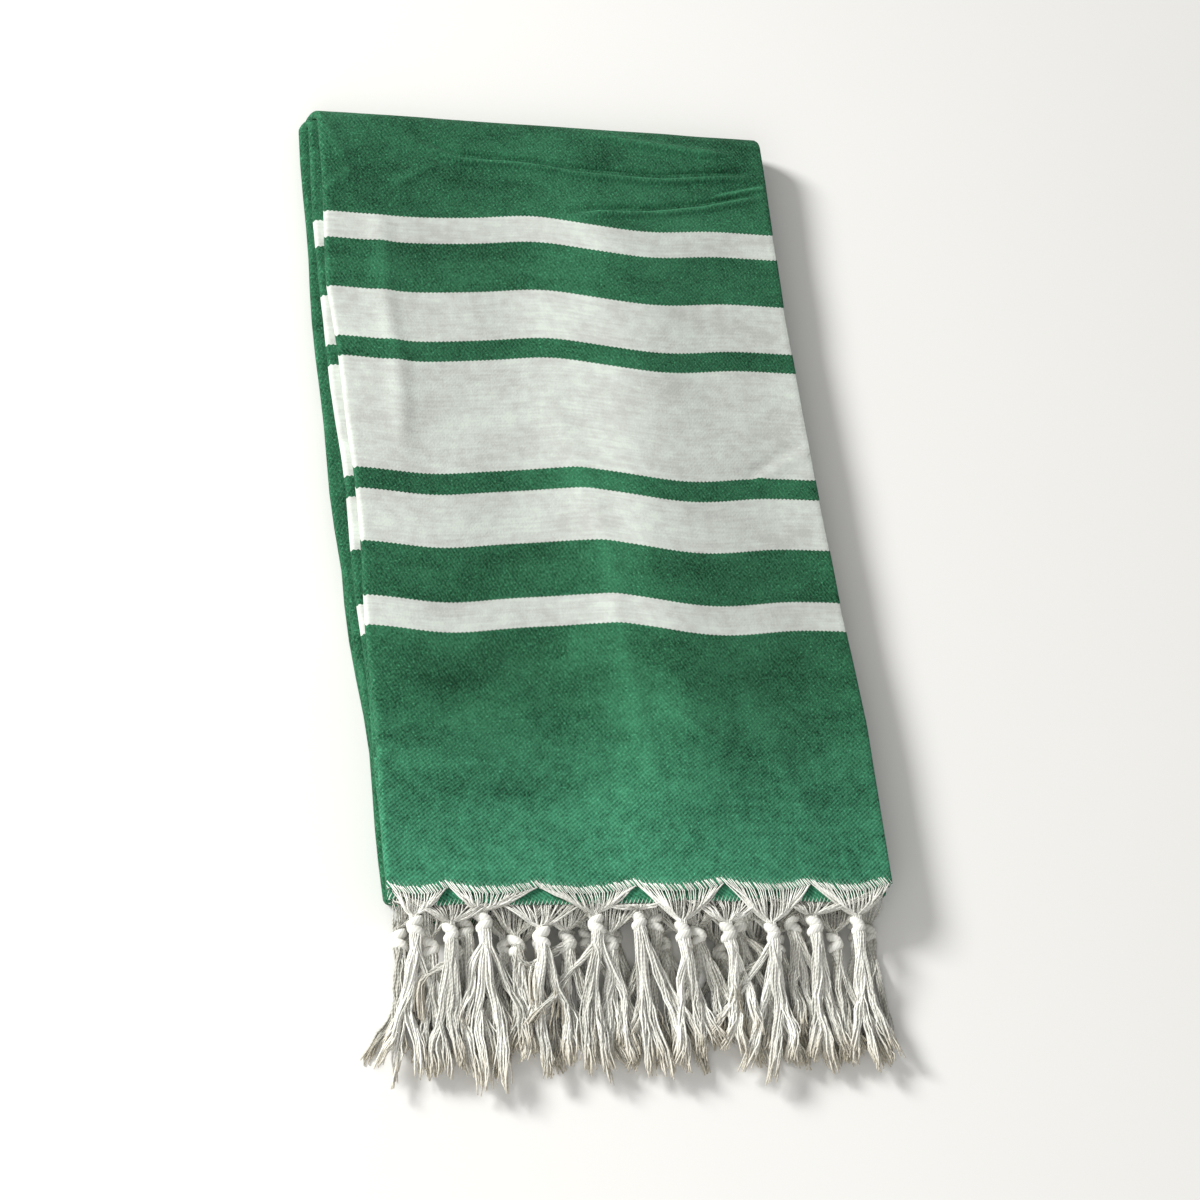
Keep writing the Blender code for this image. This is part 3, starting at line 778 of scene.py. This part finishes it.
# Where the strands of the top level's tassels end: x and y
topTips = {
    -113.0: ((-138, -89), (-128, -94), (-117, -90), (-102, -93)),
    -96.5: ((-108, -90), (-97, -86), (-89, -92)),
    -80.0: ((-96, -69), (-85, -98), (-77, -100), (-63, -80)),
    -52.5: ((-66, -84), (-53, -92), (-42, -86)),
    -25.0: ((-61, -66), (-35, -91), (-25, -95), (-13, -86)),
    -4.0: ((-4, -93), (5, -94), (14, -91), (24, -80)),
    17.0: ((8, -88), (20, -84), (31, -80)),
    39.5: ((33, -80), (42, -84), (51, -74)),
    62.0: ((25, -73), (43, -90), (53, -98), (66, -88)),
    84.5: ((74, -87), (86, -92), (96, -84)),
    107.0: ((96, -88), (108, -93), (120, -86)),
}
# Curls of the tassels under them, by level and number: the places that a curl runs through
curls = {
    (2, 1): ((-96, -25), (-93, -29), (-95, -34), (-103, -38), (-112, -45), (-112, -64)),
    (2, 2): ((-64, -27), (-62, -35), (-52, -38), (-45, -45), (-48, -66)),
    (2, 3): ((-39, -26), (-48, -31), (-57, -38), (-56, -62)),
    (2, 7): ((52, -28), (57, -34), (52, -39), (45, -43), (42, -54), (44, -70)),
}


def packed(count):
    # places of a bundle's yarns in a unit disc, from left to right
    spots, goldenAngle = [], 2.39996
    for index in range(count):
        radius, angle = math.sqrt((index + 0.5) / count), goldenAngle * index
        spots.append((radius * math.cos(angle), radius * math.sin(angle)))
    return sorted(spots)


def curlSpot(spots, share):
    # a place on a smooth line through the spots
    run = share * (len(spots) - 1)
    index = min(int(run), len(spots) - 2)
    before, one, other, after = (spots[min(max(index + step, 0), len(spots) - 1)] for step in (-1, 0, 1, 2))
    t = run - index
    return 0.5 * (2 * one + (other - before) * t + (2 * before - 5 * one + 4 * other - after) * t * t
                  + (3 * one - before - 3 * other + after) * t ** 3)


def strandTips(knot, isTop, draws):
    if isTop:
        return [Vector((x, y, 0)) for x, y in topTips[knot]]
    count, lean, scatter = draws.choice((3, 3, 4)), fringe["lean"], fringe["tipScatter"]
    middle, width = knot + draws.uniform(-lean, lean), draws.uniform(*fringe["spread"])
    return [Vector((middle + width * (index / (count - 1) - 0.5) + draws.uniform(-scatter, scatter),
                    -fringe["length"] + draws.uniform(*fringe["shortened"]), 0)) for index in range(count)]


def tasselStrands(knot, height, tips, curl, draws):
    # the strands that a tassel falls apart into, each with its own course
    middle = sum((tip.x for tip in tips), 0.0) / len(tips)
    pile, bow = fringe["pilePitch"] * height, fringe["strandBow"]
    strands = []
    for tip in tips:
        strands.append(dict(
            tip=tip, middle=middle, split=draws.uniform(0.0, 0.14), bow=draws.uniform(-bow, bow),
            seed=draws.uniform(0.0, 90.0), lift=draws.uniform(*fringe["strandLift"]),
            fray=draws.uniform(*fringe["fray"]), pile=pile, tone=draws.random(), curl=None,
        ))
    if curl:
        strands[0]["curl"] = [knot + Vector((0, fringe["chin"], 0))]
        for step, (x, y) in enumerate(curl):
            z = mix(knot.z + 1.5, pile + 2.0, (step / len(curl)) ** 2)
            strands[0]["curl"].append(Vector((x, y, z)))
    return strands


def strandSpot(strand, start, share):
    # the middle of a strand at a share of its way from the knot to its tip
    if strand["curl"]:
        return curlSpot(strand["curl"], share)
    apart = max(share - strand["split"], 0.0) / (1.0 - strand["split"])
    x = mix(start.x, strand["middle"], share) + (strand["tip"].x - strand["middle"]) * apart ** 0.85
    x += strand["bow"] * math.sin(math.pi * share)
    sway = noise.noise_vector(Vector((strand["seed"], 3.4 * share, 0.0)))
    sway = sway * fringe["strandSway"] * ease(share * 2.5)
    rest = strand["pile"] + 1.2 + strand["lift"] * (1.0 - 0.5 * share) + 0.4 * sway.z
    return Vector((x + sway.x, mix(start.y, strand["tip"].y, share), mix(start.z, rest, ease(share / 0.5))))


def gatherPath(x, layer, cusp, knot, neck, draws):
    # from inside the hem to the rope along its side of the V that two cusps of the hem and the knot make, and
    # down that; with each point goes how full the yarn is there, from a thread to its own thickness
    edge, side = layer["edge"](x), Vector((cusp, layer["edge"](cusp) - 0.4))
    own = 1.0 - min(abs((x - knot.x) / (cusp - knot.x)), 1.0)
    own += fringe["pull"][not layer["isShown"]] * draws.uniform(0.4, 1.0) * (1.0 - own)
    aside, bulge = draws.uniform(0.0, fringe["ropeWidth"]), draws.uniform(0.0, fringe["bulge"])
    level = settled(x, edge, layer["z"])
    path = []
    if layer["isShown"]:
        inset, slant = fringe["hatch"] * draws.uniform(0.7, 1.0), fringe["slant"] * draws.uniform(0.85, 1.15)
        for part, rise in zip((1.0, 0.45), fringe["hatchLift"]):
            path.append(Vector((x - part * slant, edge + part * inset, level + rise)))
    else:
        path += [Vector((x, edge + back, level)) for back in (2.0, 1.0)]

    def ropeSpot(share):
        sag = aside * min(3.0 * share, 3.0 * (1.0 - share), 1.0)
        return Vector((mix(side.x, neck.x, share), mix(side.y, neck.y, share ** 1.15) - sag))

    bend = ropeSpot(own)
    down, along = max(edge - bend.y, 0.1), (1.0 - own) * (side - neck.xy).length
    turn = down / (down + along)
    full = [0.0, 0.0]
    for step in range(fringe["gatherSteps"]):
        share = step / fringe["gatherSteps"]
        if share < turn:
            spot = Vector((x, edge)).lerp(bend, share / turn)
        else:
            spot = ropeSpot(mix(own, 1.0, (share - turn) / (1.0 - turn)))
        full.append(ease(1.0 + 3.0 * (share - turn)))
        z = mix(level + 0.4 * layer["isShown"], neck.z, ease(share) ** 1.6)
        path.append(Vector((*spot, z + bulge * math.sin(math.pi * share) ** 2)))
    return path, full


def hangPath(start, spot, strand, own, spread, draws):
    # from under the knot to the tip, first in the tassel's bundle, then in its strand
    chin = start + Vector((0, fringe["chin"], 0))
    turn, twist, seed = draws.uniform(0.0, 6.28), draws.uniform(1.6, 3.4), draws.uniform(0.0, 90.0)
    reach = draws.uniform(0.86, 1.0)
    width, height = fringe["bundleWidth"], fringe["bundleHeight"]
    path = [start + Vector((0.75 * width * spot[0], 0, 0.7 * height * spot[1])),
            chin + Vector((width * spot[0], 0, height * spot[1]))]
    for step in range(1, fringe["hangSteps"] + 1):
        share = reach * step / fringe["hangSteps"]
        bundled = 1.0 - ease(share / fringe["bundled"])
        radius = spread * mix(fringe["strandRadius"], strand["fray"], ease((share - 0.45) / 0.55))
        angle = math.atan2(own[1], own[0]) + twist * share + (turn if spread > 1.0 else 0.0)
        size = radius * math.hypot(*own) * (1.0 - bundled)
        x = bundled * width * spot[0] + size * math.cos(angle)
        z = bundled * height * spot[1] + 0.7 * size * math.sin(angle)
        sway = noise.noise_vector(Vector((seed, 8.5 * share, 5.0)))
        sway = sway * fringe["yarnSway"] * ease(share * 2.0) * spread
        point = strandSpot(strand, chin, share) + Vector((x, 0.0, z)) + sway
        path.append(Vector((point.x, point.y, max(point.z, 0.6))))
    return path


def toneOf(kind, strand, isTop, draws):
    # random tone, paler on the top level as painted light and darker below it as painted shade
    share, paintedLightOnTop, paintedShadeBelow = fringe[kind]
    return share * strand["tone"] + (1.0 - share) * draws.random() + (paintedLightOnTop if isTop else paintedShadeBelow)


def makeTassel(height, layer, index, draws):
    # the yarns of one tassel, those that come from the hem and the loose ones that show below the knot alone
    knots = layer["knots"]
    notches = [layer["left"] + fringe["inset"][0], *middles(knots), layer["right"] - fringe["inset"][1]]
    low, high = notches[index], notches[index + 1]
    isTop = height == len(levels) - 1
    knot = Vector((knots[index], fringe["knot"], fringe["knotZ"] + fringe["knotPitch"] * height))
    knot.z = settled(knot.x, 0.0, knot.z)
    tips = strandTips(knots[index], isTop, draws)
    if isTop:
        knot.y += topDrops[knots[index]]
    else:
        knot += Vector([draws.uniform(*reach) for reach in fringe["knotScatter"]])
    curl = curls.get((height, 2 * index + layer["member"]))
    strands = tasselStrands(knot, height, tips, curl, draws)
    count = round((high - low) / fringe["threadPitch"])
    bundle, uneven = packed(count), fringe["unevenness"][not layer["isShown"]]
    halfWidth, halfHeight = fringe["neckSize"]
    shares = [packed(math.ceil(count / len(strands))) for strand in strands]
    yarns, wisps = [], []
    for number, spot in enumerate(bundle):
        pick = number * len(strands) // count
        strand = strands[pick]
        own = shares[pick][number % len(shares[pick])]
        x = mix(low, high, clamped((number + 0.5 + draws.uniform(-uneven, uneven)) / count))
        neck = knot + Vector((halfWidth * spot[0], fringe["neck"], halfHeight * spot[1]))
        path, full = gatherPath(x, layer, low if x < knot.x else high, knot, neck, draws)
        path += [neck, *hangPath(knot, spot, strand, own, 1.0, draws)]
        radii = [mix(fringe["hatchRadius"], fringe["ropeRadius"], share) for share in full]
        radii += [mix(fringe["yarnRadius"], fringe["tipRadius"], step / fringe["hangSteps"])
                  for step in range(len(path) - len(radii))]
        yarns.append(dict(path=path, radii=radii, tone=toneOf("yarnTone", strand, isTop, draws)))
        stray = draws.choice(strands) if draws.random() < fringe["strays"] else strand
        path = hangPath(knot, (spot[1], spot[0]), stray, own, draws.uniform(0.7, 1.5), draws)
        tone = toneOf("wispTone", strand, isTop, draws)
        wisps.append(dict(path=path, radii=[fringe["wispRadius"]] * len(path), tone=tone))
    return yarns, wisps, dict(centre=knot, size=draws.uniform(*fringe["knotSize"]))


def sweepYarns(bm, yarns):
    # yarns of round section along their paths, all grown together step by step
    sides, count = fringe["sides"], len(yarns[0]["path"])
    uvLayer = bm.loops.layers.uv.new("lay")
    strand, corner, ring = (bm.verts.layers.int.new(name) for name in ("strand", "corner", "ring"))
    runs = []
    for path in (yarn["path"] for yarn in yarns):
        run = [0.0]
        for one, other in zip(path, path[1:]):
            run.append(run[-1] + (other - one).length)
        runs.append(run)

    def corners(path, radii, step):
        radius = radii[step] * (fringe["tipTaper"] if step == count - 1 else 1.0)
        ahead = (path[min(step + 1, count - 1)] - path[max(step - 1, 0)]).normalized()
        side = ahead.cross(Vector((0, 0, 1)))
        side = side.normalized() if side.length > 0.05 else Vector((1, 0, 0))
        up = side.cross(ahead)
        spots = []
        for index in range(sides):
            angle = 2 * math.pi * index / sides
            spot = path[step] + (side * math.cos(angle) + up * math.sin(angle)) * radius
            spots.append(place(spot.x, spot.y, max(spot.z, 0.02)))
        return spots

    for number, one in enumerate(yarns):
        made = bmesh.ops.create_circle(bm, cap_ends=True, segments=sides, radius=1.0)["verts"]
        for index, (vert, spot) in enumerate(zip(made, corners(one["path"], one["radii"], 0))):
            vert[strand], vert[corner], vert.co = number, index, spot
    faces = list(bm.faces)
    for step in range(1, count):
        spots = [corners(one["path"], one["radii"], step) for one in yarns]
        grown = bmesh.ops.extrude_face_region(bm, geom=faces)["geom"]
        if step > 1:
            bmesh.ops.delete(bm, geom=faces, context="FACES")
        faces = [part for part in grown if isinstance(part, bmesh.types.BMFace)]
        for vert in (part for part in grown if isinstance(part, bmesh.types.BMVert)):
            vert.co = spots[vert[strand]][vert[corner]]
            vert[ring] = step
    # each yarn's tone, with the painted light and shade of the levels
    tone = bm.verts.layers.float.new("tone")
    reach = bm.verts.layers.float.new("reach")
    for vert in bm.verts:
        vert[tone] = yarns[vert[strand]]["tone"]
        vert[reach] = 1.0 - (count - 1 - vert[ring]) / (fringe["hangSteps"] + 2.0)
    for face in bm.faces:
        wraps = len({loop.vert[corner] for loop in face.loops} & {0, sides - 1}) == 2
        for loop in face.loops:
            turnShare = loop.vert[corner] / sides
            if wraps and loop.vert[corner] == 0:
                turnShare = 1.0
            loop[uvLayer].uv = (turnShare, runs[loop.vert[strand]][loop.vert[ring]] * mm)
    bmesh.ops.recalc_face_normals(bm, faces=bm.faces)


yarnFinish = dict(
    pale="#F0EFE7",
    # pale is the lit yarn; the dull colour is the yarn as it looks in shade, painted shade mixed in by each
    # yarn's tone
    shadedDull="#8D8B7F",
    tip="#B3A588",
    twistPitch=2.1,  # two soft plies
    # how much darker the grooves between the plies are painted, as painted shade
    plyShare=0.3,
    fuzzSize=1.111,  # of the hairs, as coarse as needed to show
    soiled=(0.82, 1.0, 0.5),  # share of the length where the soiling begins and ends, and how much there is
    toneRange=(0.05, 1.1),  # from the dull, shaded colour to pale
    bumpHeight=0.12,
    roughness=0.92,
    sheen=0.08,
    specular=0.15,
)


def cottonYarn():
    # undyed cotton warp, softly spun: matt, fuzzy white with a slack twist, a little soiled at the tips;
    # painted shade darkens the ply grooves and the lower levels, painted light brightens the top level
    made = newMaterial("cottonYarnUndyed")
    lay = addNode(made, "UVMap", uv_map="lay")
    split = addNode(made, "SeparateXYZ", {0: lay})
    tone = addNode(made, "Attribute", attribute_name="tone")
    reach = addNode(made, "Attribute", attribute_name="reach")
    turns = addNode(made, "Math", {0: split.outputs[1], 1: 1.0 / (yarnFinish["twistPitch"] * mm),
                                   2: split.outputs[0]}, operation="MULTIPLY_ADD")
    angle = addNode(made, "Math", {0: turns, 1: 2 * math.pi}, operation="MULTIPLY")
    wave = addNode(made, "Math", {0: angle}, operation="SINE")
    ply = addNode(made, "Math", {0: wave, 1: 0.5, 2: 0.5}, operation="MULTIPLY_ADD")
    spot = addNode(made, "TexCoord")
    fuzz = addNode(made, "TexNoise", {"Vector": spot.outputs["Object"],
                                      "Scale": 1.0 / (yarnFinish["fuzzSize"] * mm), "Detail": 2.0})
    # painted shade in the ply grooves, added to each yarn's tone
    shade = addNode(made, "Math", {0: ply, 1: yarnFinish["plyShare"], 2: tone.outputs["Fac"]},
                    operation="MULTIPLY_ADD")
    share = addNode(made, "MapRange", {0: shade, 1: yarnFinish["toneRange"][0], 2: yarnFinish["toneRange"][1]})
    clean = addNode(made, "Mix", {0: share, 6: linear(yarnFinish["shadedDull"]), 7: linear(yarnFinish["pale"])},
                    data_type="RGBA")
    start, stop, most = yarnFinish["soiled"]
    soil = addNode(made, "MapRange", {0: reach.outputs["Fac"], 1: start, 2: stop, 3: 0.0, 4: most})
    colour = addNode(made, "Mix", {0: soil, 6: clean.outputs[2], 7: linear(yarnFinish["tip"])},
                     data_type="RGBA")
    height = addNode(made, "Math", {0: fuzz, 1: ply}, operation="ADD")
    bump = addNode(made, "Bump", {"Height": height, "Strength": 0.5, "Distance": yarnFinish["bumpHeight"] * mm})
    shader = addNode(made, "BsdfPrincipled", {
        "Base Color": colour.outputs[2], "Roughness": yarnFinish["roughness"], "Normal": bump,
        "Sheen Weight": yarnFinish["sheen"], "Sheen Roughness": 0.5,
        "Specular IOR Level": yarnFinish["specular"],
    })
    return finishMaterial(made, shader)


knotShape = dict(
    ringWidth=1.9,
    ringHeight=0.9,
    tubeWidth=1.8,
    tubeLength=2.7,
    tubeHeight=1.6,
    squeeze=0.8,  # of the tube's length, where the turns press on each other
    templateRadius=4.0,
    turns=((1.6, 0.4), (-1.8, -0.34)),  # place of each turn along the tassel, and its tilt
    strands=6,  # yarns seen in each turn
    slack=3,  # how many times they slant across it
    groove=0.1,
    twists=10,  # of a yarn on its way round, a whole number so that it meets itself
    aroundSteps=18,
)


def knotTemplate():
    # a spun ring, its points known by their angle round the tassel and round the ring's own section
    bm = bmesh.new()
    bmesh.ops.create_circle(bm, cap_ends=False, segments=4 * knotShape["strands"], radius=1.0,
                            matrix=Matrix.Translation((knotShape["templateRadius"], 0.0, 0.0)))
    bmesh.ops.spin(bm, geom=bm.verts[:] + bm.edges[:], axis=(0, 1, 0), cent=(0, 0, 0), angle=2 * math.pi,
                   steps=knotShape["aroundSteps"], use_merge=True)
    bmesh.ops.recalc_face_normals(bm, faces=bm.faces)
    mesh = bpy.data.meshes.new("knotTemplate")
    bm.to_mesh(mesh)
    bm.free()
    return mesh


def addKnot(bm, template, knot, draws):
    # two turns of a bundle of yarns round the tassel, squeezed flat and crossing each other
    uvLayer = bm.loops.layers.uv["lay"]
    tone = bm.verts.layers.float["tone"]
    shade, mirror = draws.uniform(0.6, 1.0), draws.choice((-1.0, 1.0))
    for along, tilt in knotShape["turns"]:
        before, facesBefore = len(bm.verts), len(bm.faces)
        bm.from_mesh(template)
        bm.verts.ensure_lookup_table()
        bm.faces.ensure_lookup_table()
        size = draws.uniform(0.92, 1.1) * knot["size"]
        angles = {}
        for vert in bm.verts[before:]:
            around = math.atan2(vert.co.z, vert.co.x)
            own = math.atan2(vert.co.y, math.hypot(vert.co.x, vert.co.z) - knotShape["templateRadius"])
            angles[vert] = (around, own)
            lobe = knotShape["strands"] * own + knotShape["slack"] * around
            radius = 1.0 - knotShape["groove"] * (0.5 - 0.5 * math.cos(lobe))
            wide = knotShape["ringWidth"] + knotShape["tubeWidth"] * radius * math.cos(own)
            high = knotShape["ringHeight"] + knotShape["tubeHeight"] * radius * math.cos(own)
            x, z = wide * math.cos(around) * size, high * math.sin(around) * size
            y = knotShape["tubeLength"] * radius * math.sin(own) * size * knotShape["squeeze"]
            y += along * size + tilt * mirror * x
            spot = knot["centre"] + Vector((x, y, z))
            vert.co = place(spot.x, spot.y, max(spot.z, 0.1))
            vert[tone] = shade
        for face in bm.faces[facesBefore:]:
            first = angles[face.loops[0].vert]
            for loop in face.loops:
                pair = [value + 2 * math.pi * round((start - value) / (2 * math.pi))
                        for value, start in zip(angles[loop.vert], first)]
                lobe = (knotShape["strands"] * pair[1] + knotShape["slack"] * pair[0]) / (2 * math.pi)
                turned = pair[0] / (2 * math.pi)
                loop[uvLayer].uv = (lobe, turned * knotShape["twists"] * yarnFinish["twistPitch"] * mm)


def fringeLayers(end):
    # the cloth's layers that end in this fringe, with their hems' edges and knots
    strip = strips["top"] if end == "a" else strips["third"]
    hem = towel["hemA"] if end == "a" else towel["hemB"]
    facing = 1.0 if end == "a" else -1.0
    left, right = stripEdges(strip, hem)
    layers = []
    for height, level in enumerate(levels):
        if level["end"] == end:
            for member, offset in enumerate(level["layers"]):
                layers.append(dict(
                    height=height, member=member, knots=level["knots"][member::2],
                    isShown=isVisible(end, offset), left=left, right=right,
                    z=stripMiddle(strip) + facing * offset,
                    edge=lambda x, level=level, member=member: hem + hemShift(x, level, member),
                ))
    return layers


def makeFringe(end, yarnMaterial):
    draws = random.Random("fringe " + end)
    yarns, wisps, knots = [], [], []
    for layer in fringeLayers(end):
        for index in range(len(layer["knots"])):
            hung, loose, knot = makeTassel(layer["height"], layer, index, draws)
            yarns += hung
            wisps += loose
            knots.append(knot)
    pieces = []
    for name, group in (("fringeYarns", yarns), ("looseYarns", wisps)):
        bm = bmesh.new()
        sweepYarns(bm, group)
        pieces.append(newPiece(name + end.upper(), bm, yarnMaterial))
    bm = bmesh.new()
    bm.loops.layers.uv.new("lay")
    bm.verts.layers.float.new("tone")
    template = knotTemplate()
    for knot in knots:
        addKnot(bm, template, knot, draws)
    bpy.data.meshes.remove(template)
    pieces.append(newPiece("fringeKnots" + end.upper(), bm, yarnMaterial))
    for piece in pieces:
        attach(piece, "root")
        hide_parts("fringe_end_" + end)
        print(piece.name, "has", sum(len(face.vertices) - 2 for face in piece.data.polygons), "triangles")
    return pieces


yarnMaterial = cottonYarn()
fringes = makeFringe("a", yarnMaterial) + makeFringe("b", yarnMaterial)

studio = dict(
    floor="#EFEEEA",
    floorMottle="#CFCBC3",
    mottleSize=167.0,
    mottleShare=0.06,
    floorHalf=6.0,
    keySize=0.9,
    keyPower=140.0,
    keyPlace=(-2.55, 1.2, 1.55),
    fillSize=1.6,
    fillPower=13.0,
    fillPlace=(-0.8, -1.4, 1.1),
    sky="#F6F6F6",
    skyStrength=0.38,
)


def floorPaint():
    # matt painted board: pale, even, faintly mottled
    made = newMaterial("mattPaintedBoard")
    spot = addNode(made, "TexCoord")
    mottle = addNode(made, "TexNoise", {"Vector": spot.outputs["Object"],
                                        "Scale": 1.0 / (studio["mottleSize"] * mm), "Detail": 3.0})
    tint = addNode(made, "MapRange", {0: mottle, 3: 0.0, 4: studio["mottleShare"]})
    colour = addNode(made, "Mix", {0: tint, 6: linear(studio["floor"]), 7: linear(studio["floorMottle"])},
                     data_type="RGBA")
    shader = addNode(made, "BsdfPrincipled", {"Base Color": colour.outputs[2], "Roughness": 0.8})
    return finishMaterial(made, shader)


def softLight(name, size, power, spot):
    lamp = bpy.data.lights.new(name, "AREA")
    lamp.shape = "DISK"
    lamp.size = size
    lamp.energy = power
    light = bpy.data.objects.new(name, lamp)
    light.location = spot
    light.rotation_euler = (-Vector(spot)).to_track_quat("-Z", "Y").to_euler()
    bpy.context.collection.objects.link(light)


def makeStudio():
    bm = bmesh.new()
    bmesh.ops.create_grid(bm, x_segments=1, y_segments=1, size=studio["floorHalf"])
    floor = newPiece("studioFloor", bm, floorPaint())
    softLight("keyLight", studio["keySize"], studio["keyPower"], studio["keyPlace"])
    softLight("fillLight", studio["fillSize"], studio["fillPower"], studio["fillPlace"])
    world = bpy.data.worlds.new("studioSky")
    bpy.context.scene.world = world
    world.use_nodes = True
    sky = world.node_tree.nodes["Background"]
    sky.inputs["Color"].default_value = linear(studio["sky"])
    sky.inputs["Strength"].default_value = studio["skyStrength"]
    bpy.context.scene.view_settings.view_transform = "Standard"  # colours as the photograph keeps them


makeStudio()
print("studio set")
